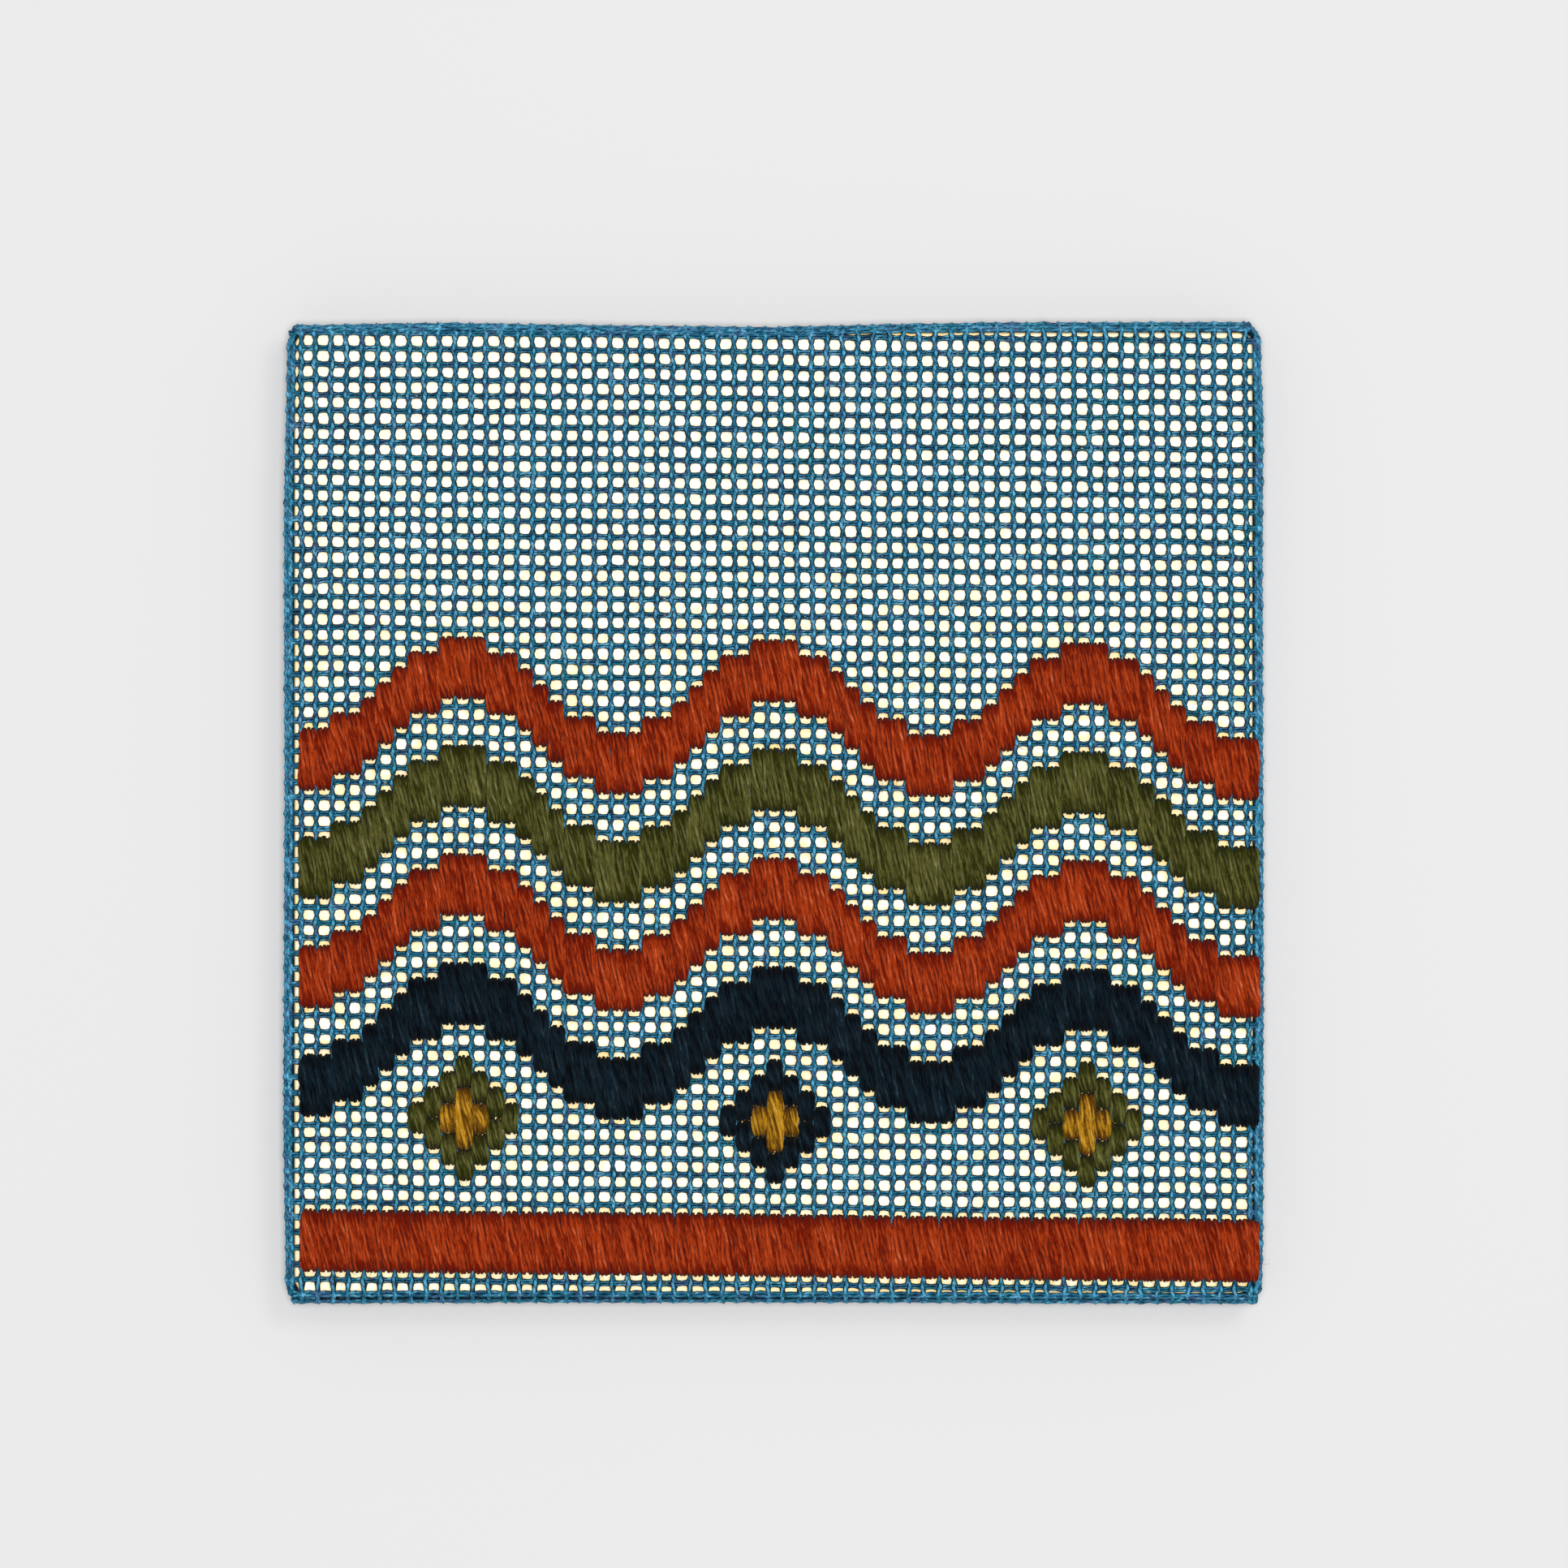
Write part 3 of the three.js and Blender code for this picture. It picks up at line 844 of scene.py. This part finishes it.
def end_cord(bundle, side, past, index):
    """The two threads of a flap pair at the top or bottom, its ends turned under."""
    on_hem = past > QUARTER + SIDE_DROP
    left_reach, right_reach = END_REACH[side]
    if on_hem:
        left_reach = right_reach = hem_limit(side, past)
    phase = np.arange(0, COLUMNS + 0.1, 1.0 if on_hem else 0.5)
    x = lattice(phase + 0.5, 0 if side == "top" else ROWS)[0]
    inside = (x > END_CLEAR - left_reach) & (x < right_reach - END_CLEAR)
    x = np.concatenate([[-left_reach], x[inside], [right_reach]])
    phase = np.concatenate([[-0.5], phase[inside], [COLUMNS]])
    shown = index < END_SHOWN
    spread = END_SPREAD if shown else WEFT_SPREAD
    radius = END_RADIUS if shown else WEFT_RADIUS
    middle = first_pair(side, x) if index == 0 else np.full(len(x), past)
    opened = END_OPEN[0] - END_OPEN[1] * np.cos(2 * np.pi * phase)
    for aside in (-spread, spread):
        run = middle + aside * opened + chance.normal(0, END_STRAY, len(x))
        lift = np.sign(aside) * END_LIFT * np.cos(np.pi * phase)
        lift = lift + chance.normal(0, END_LIFT_STRAY, len(x))
        points, up = outward(side, x, run, lift)
        # Lifts count more in the tint here: a stronger painted highlight and shade.
        section = points, up, np.full(len(x), radius), lift * END_TINT
        if on_hem:
            bundle.thread(section)
            continue
        left = curled(points[0], up[0], -1, radius)
        right = curled(points[-1], up[-1], 1, radius)
        bundle.thread(backwards(left), section, right)


def curled(tip, up, step, radius):
    """The turned-under end of a thread that runs along an end flap. Step is -1 on the left."""
    points = np.array([
        tip - up * inward * MM + [step * onward * MM, 0, 0] for onward, inward in END_CURL
    ])
    # The way up leans over with the curl, one for each of its points.
    ups = np.array([
        up * 0.5 + [step * 0.9, 0, 0],
        [step * 1.0, 0, 0] - up * 0.1,
        -up * 0.8 + [step * 0.6, 0, 0],
        -up,
    ])
    # The curl counts as lying low, so its tint is darker: painted shade.
    return points, ups, np.full(len(points), radius), np.full(len(points), -CROSS_LIFT)


def folded_edges(bundle, side):
    """The warp pair at each folded end of the top or bottom flap."""
    for sign, reach in zip((-1, 1), END_REACH[side]):
        x = sign * (reach - FOLDED_EDGE)
        for first in (True, False):
            section = warp_flap(side, 0, first, x, fold_start(side, x))
            bundle.thread([part[FOLDED_SKIP:] for part in section])


# The canvas is made in four strips, so that no mesh is too heavy. These are the weft pairs of
# each: the first, and the one past the last.
STRIPS = {
    "canvas_top": (0, 13),
    "canvas_upper": (13, 31),
    "canvas_lower": (31, 49),
    "canvas_bottom": (49, 62),
}


def make_strip(name, wander, paint):
    first, after = STRIPS[name]
    bundle = Bundle()
    ends = [side for side, reached in (("top", first == 0), ("bottom", after == ROWS)) if reached]
    begin = first if first == 0 else first - 1 / WARP_STEPS
    finish = after - 1 if after == ROWS else after - 1 / WARP_STEPS
    for row in range(first, after):
        weft_pair(bundle, row, wander)
    for column in range(COLUMNS):
        warp_pair(bundle, column, wander, (begin, finish), ends)
    for side in ("left", "right"):
        for index, past in enumerate(flap_lines(side)):
            side_cord(bundle, side, past, index, (first - 0.5, after - 0.5), ends)
    for side in ends:
        for index, past in enumerate(flap_lines(side)):
            end_cord(bundle, side, past, index)
        folded_edges(bundle, side)
    return bundle.piece(name, paint)


def make_canvas(paint):
    wander = chance.normal(0, WANDER, (2, ROWS, COLUMNS))
    wander[0, :, 0] += np.linspace(*SLOT_SHIFT, ROWS)
    return [make_strip(name, wander, paint) for name in STRIPS]


def cut_size(name):
    """The width and length that a strip was cut to, and the area left once it is mitred."""
    first, after = STRIPS[name]
    at_end = first == 0 or after == ROWS
    length = (after - first) * -LATTICE_Y[2] + (CLOTH_END if at_end else 0)
    width = 2 * (fold_start("left", 0.0) + CLOTH_END)
    area = width * length - (2 * CLOTH_END ** 2 if at_end else 0)
    return width, length, area


# The wool

def hole(column, row):
    """The middle of a hole, where stitches go down."""
    x, y = lattice(column, row)
    shift_x, shift_y = drift(x, y)
    return min(x + shift_x, LAST_HOLE), y + shift_y


def stitch_spine(length):
    """Steps down a stitch, how far below its crown they lie, and how steeply it falls there."""
    round_off = min(END_ROUND, END_ROUND_SHARE * length)
    dive = np.radians(END_DIVE)
    depth = canvas_high.z + CROWN - (board_high.z + BOARD_CLEAR)
    ends_y = round_off * (1 - np.cos(dive))
    ends_z = depth * (np.sin(dive) - 1)
    count = max(3, int(round((length - 2 * round_off) / STITCH_STEP)))
    flat = np.linspace(round_off, length - round_off, count + 1)[1:-1]
    level_run = np.zeros(len(flat))
    down = np.concatenate([ends_y, flat, (length - ends_y)[::-1]])
    level = np.concatenate([ends_z, level_run, ends_z[::-1]])
    slope = np.concatenate([RIGHT_ANGLE - dive, level_run, dive[::-1] - RIGHT_ANGLE])
    return down, level, slope


def slow_wave(share, size):
    """A gentle random wave along a stitch."""
    height = chance.normal(0, size)
    quickness = chance.uniform(1.0, 3.0)
    return height * np.sin(np.pi * share * quickness + chance.uniform(0, 6.3))


def stitch(bundle, fuzz, column, from_row, to_row):
    """One upright satin stitch of twisted strands round a core, down into a hole at each end."""
    top_x, top_y = hole(column, from_row)
    foot_x, foot_y = hole(column, to_row)
    top_y -= INTO_HOLE
    foot_y += INTO_HOLE
    length = top_y - foot_y
    down, level, slope = stitch_spine(length)
    share = down / length
    inside = np.minimum(down, length - down)
    full = np.sin(0.5 * np.pi * np.clip(inside / END_NARROW, 0, 1))
    shaded = 1 - np.clip(inside / END_SHADE, 0, 1)
    edge = min(1.0, (WOOL_REACH - abs(top_x)) / ROOM_NEEDED)
    spine_x = top_x + (foot_x - top_x) * share + slow_wave(share, SPINE_WAVE)
    crown = canvas_high.z + CROWN + chance.normal(0, CROWN_STRAY)
    up = np.stack([np.zeros(len(down)), np.sin(slope), np.cos(slope)], axis=1)

    def raised(aside, out):
        """The stitch's spine, moved to the side and out from the canvas."""
        return np.stack([
            spine_x + aside,
            top_y - down + out * np.sin(slope),
            crown + level + out * np.cos(slope),
        ], axis=1)

    # The core, darker than the strands: painted shade where they part.
    core_radius = CORE_HALF * edge * (CORE_END + (1 - CORE_END) * full)
    bundle.strand(raised(0.0, 0.0), up, core_radius, CORE_SIDES, CORE_TINT, 0.0, CORE_FLAT)
    half = BUNDLE_HALF * edge * chance.uniform(0.95, 1.05)
    half = BUNDLE_END + (half - BUNDLE_END) * full
    rise = BUNDLE_RISE * (RISE_END + (1 - RISE_END) * full) * chance.uniform(0.9, 1.1)
    begin = chance.uniform(0, FULL_TURN)
    turns = TURNS_PER_LENGTH * length * chance.uniform(0.8, 1.25)
    for number in range(STRANDS):
        angle = begin + FULL_TURN * (number / STRANDS - turns * share)
        angle = angle + chance.normal(0, ANGLE_STRAY)
        aside = half * np.cos(angle) + slow_wave(share, STRAND_WAVE)
        out = rise * np.sin(angle) + slow_wave(share, STRAND_BOB) * full
        radius = STRAND_RADIUS * (STRAND_END + (1 - STRAND_END) * full)
        radius = radius * chance.uniform(0.86, 1.12) * (1 + slow_wave(share, RADIUS_WAVE))
        # The stitch ends get a darker tint: painted shade.
        tint = chance.uniform(0, 1) - SHADE_DEPTH * shaded
        start = chance.uniform(0, 30)
        bundle.strand(raised(aside, out), up, radius, STRAND_SIDES, tint, start)
    for _ in range(fuzz):
        fibre(bundle, spine_x.mean(), top_y, length, crown, FIBRE_HALF * edge)


def fibre(bundle, x, top_y, length, crown, half):
    """A loose fibre that lies on a stitch and lifts a little off it. A few are long."""
    at = chance.uniform(-0.04, 0.96) * length
    reach = chance.uniform(*FIBRE_LENGTH) * MM
    if chance.random() < LONG_FIBRES:
        reach *= LONG_FACTOR
    t = np.linspace(0, 1, FIBRE_POINTS)
    angle = math.radians(chance.normal(*FIBRE_LEAN)) + chance.normal(0, FIBRE_BEND) * t
    step = reach / (FIBRE_POINTS - 1)
    across = chance.uniform(-1, 1) * half
    y = top_y - at - np.concatenate([[0], np.cumsum(step * np.cos(angle[1:]))])
    side = x + across + np.concatenate([[0], np.cumsum(step * np.sin(angle[1:]))])
    side = np.clip(side, -FIBRE_REACH, FIBRE_REACH)
    surface = crown + BUNDLE_RISE + STRAND_RADIUS - FIBRE_FALL * (across / half) ** 2
    lift = chance.uniform(*FIBRE_LIFT) * MM
    z = surface - FIBRE_SUNK + lift * np.sin(np.pi * t * chance.uniform(0.5, 1.0))
    path = np.stack([side, y, z], axis=1)
    up = np.tile([0.0, 0.0, 1.0], (len(path), 1))
    radius = FIBRE_RADIUS * (1 - 0.5 * t ** 2)
    bundle.strand(path, up, radius, FIBRE_SIDES, chance.uniform(0.5, 1))


# A band's name, wool, first row at a crest and the rows that it falls from there
BANDS = [
    ("rust_wave_upper", "rust", 19, 6),
    ("olive_wave", "olive", 26, 6),
    ("rust_wave_lower", "rust", 33, 6),
    ("navy_wave", "navy", 40, 6),
    ("rust_stripe", "rust", 56, 0),
]
# A lozenge's name, the wool of its ring and its middle column
LOZENGES = [
    ("lozenge_left", "olive", 11),
    ("lozenge_middle", "navy", 31),
    ("lozenge_right", "olive", 51),
]
CENTRE_WOOL = "mustard"


def wave_drop(column, fall):
    """How many whole rows a band has fallen from its crest at that column."""
    turn = FULL_TURN * (column - WAVE_CREST) / WAVE_PERIOD
    return math.floor(fall * (1 - math.cos(turn)) / 2 + 0.5)


def band_stitches(first_row, fall):
    """A band's stitches, as column, first row and last row."""
    for column in range(1, COLUMNS + 1):
        top = first_row + wave_drop(column, fall)
        yield column, top, top + BAND_ROWS


def lozenge_stitches(column):
    """A lozenge's ring and its centre, as lists of column, first row and last row."""
    ring, centre = [], []
    for aside in range(1 - LOZENGE_REACH, LOZENGE_REACH):
        reach = LOZENGE_REACH - abs(aside)
        inner = max(reach - LOZENGE_BORDER, 0)
        place = column + aside
        if reach < LOZENGE_BORDER:
            ring.append((place, LOZENGE_ROW - reach, LOZENGE_ROW + reach))
            continue
        ring.append((place, LOZENGE_ROW - reach, LOZENGE_ROW - inner))
        ring.append((place, LOZENGE_ROW + inner, LOZENGE_ROW + reach))
        if inner > 0:
            centre.append((place, LOZENGE_ROW - inner, LOZENGE_ROW + inner))
    return ring, centre


def work(node, stitches, dye, fuzz):
    """Works stitches in one wool, as the piece that stands for a node."""
    bundle = Bundle()
    for column, top, foot in stitches:
        stitch(bundle, fuzz, column, top, foot)
    made = bundle.piece(node + "_wool", finishes[dye])
    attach(made, "root")
    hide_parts(node)


# The room

def make_floor():
    bpy.ops.mesh.primitive_plane_add(size=FLOOR_SIZE, location=(0, 0, FLOOR_LEVEL))
    floor = bpy.context.object
    floor.name = "floor"
    made, shader, _ = material("floor_paint")
    shader.inputs["Base Color"].default_value = FLOOR_COLOUR
    shader.inputs["Roughness"].default_value = 0.95
    shader.inputs["Specular IOR Level"].default_value = 0.0
    floor.data.materials.append(made)


def make_lamp(name, size, energy, location):
    """A round lamp that points at the panel's middle."""
    lamp = bpy.data.lights.new(name, "AREA")
    lamp.shape = "DISK"
    lamp.size = size
    lamp.energy = energy
    made = bpy.data.objects.new(name, lamp)
    made.location = location
    made.rotation_mode = "QUATERNION"
    made.rotation_quaternion = made.location.to_track_quat("Z", "Y")
    bpy.context.scene.collection.objects.link(made)


def make_light():
    world = bpy.data.worlds.new("studio")
    world.use_nodes = True
    background = world.node_tree.nodes["Background"]
    background.inputs["Color"].default_value = (1.0, 1.0, 1.0, 1.0)
    background.inputs["Strength"].default_value = SKY_STRENGTH
    bpy.context.scene.world = world
    for name, (size, energy, location) in LAMPS.items():
        make_lamp(name, size, energy, location)


def make_camera():
    camera = bpy.data.cameras.new("camera")
    camera.sensor_width = SENSOR
    camera.lens = SENSOR * CAMERA_ABOVE / VIEW_SPAN
    camera.clip_start = 0.05
    camera.clip_end = 20
    made = bpy.data.objects.new("camera", camera)
    made.location = (*VIEW_CENTRE, canvas_high.z + CAMERA_ABOVE)
    bpy.context.scene.collection.objects.link(made)
    bpy.context.scene.camera = made


make_camera()
make_light()
make_floor()
bpy.context.scene.view_settings.view_transform = "Standard"

paint = canvas_paint()
finishes = {dye: wool(dye + "_wool", *colours) for dye, colours in WOOLS.items()}

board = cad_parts["backing_board"]
board.data.materials.clear()
board.data.materials.append(board_finish())

strips = make_canvas(paint)
for strip in strips:
    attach(strip, "root")
    width, length, area = cut_size(strip.name)
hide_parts("canvas")

for name, dye, first_row, fall in BANDS:
    work(name, band_stitches(first_row, fall), dye, BAND_FUZZ)
for name, dye, column in LOZENGES:
    ring, centre = lozenge_stitches(column)
    work(name + "_ring", ring, dye, LOZENGE_FUZZ)
    work(name + "_centre", centre, CENTRE_WOOL, LOZENGE_FUZZ)
